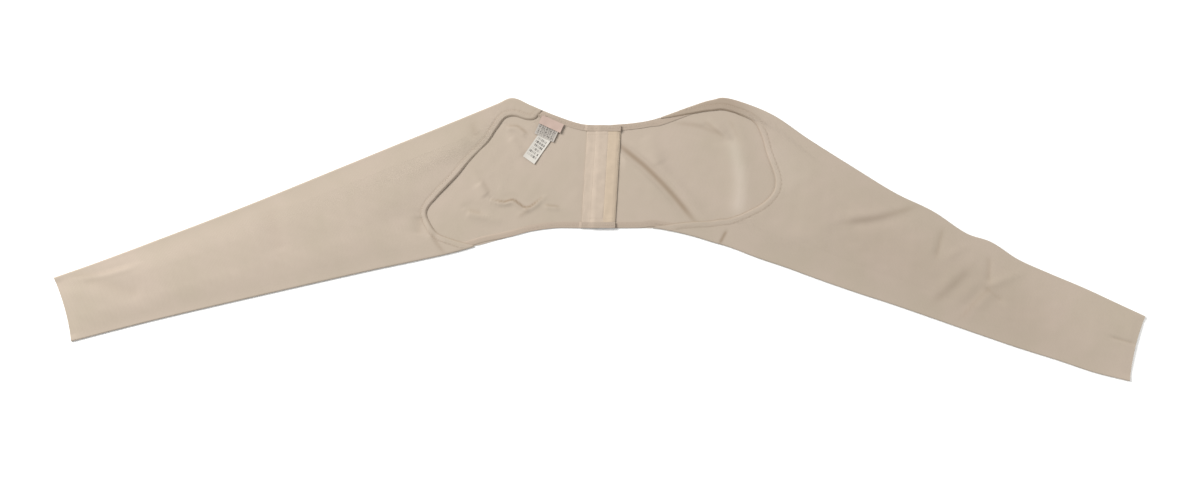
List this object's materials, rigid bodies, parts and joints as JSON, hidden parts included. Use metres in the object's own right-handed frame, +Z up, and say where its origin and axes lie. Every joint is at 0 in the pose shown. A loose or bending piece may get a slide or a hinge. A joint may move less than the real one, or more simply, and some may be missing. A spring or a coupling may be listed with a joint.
{
  "type": "arm compression sleeve pair joined by a back panel",
  "caption": "Skin-coloured knitted compression garment laid flat: full-length arm sleeves joined by a back panel with a hook-and-eye tape and an elastic opening edge.",
  "frame": {"origin": "on the surface it lies on, under the middle of its outline seen from above", "axes": "+X from the left cuff to the right cuff as the garment lies, +Y towards the neckline, +Z up out of the surface"},
  "size_m": [1.301, 0.338, 0.0119],
  "materials": {
    "sleeve_fabric": "warp-knitted nylon and elastane, fine vertical ribs, soft satin",
    "edge_elastic": "woven plush elastic, matt",
    "closure_tape": "brushed nylon tape, matt",
    "neck_label": "satin ribbon, bare",
    "print_label": "satin ribbon with plain grey lines",
    "white_label": "woven white ribbon with plain grey marks"
  },
  "bodies": {
    "root": {"left_sleeve": "sleeve_fabric", "right_sleeve": "sleeve_fabric", "left_edge_elastic": "edge_elastic", "right_edge_elastic": "edge_elastic", "eye_tape": "closure_tape", "hook_tape": "closure_tape", "brand_label": "neck_label", "care_label": "print_label", "size_label": "white_label"}
  },
  "joints": []
}
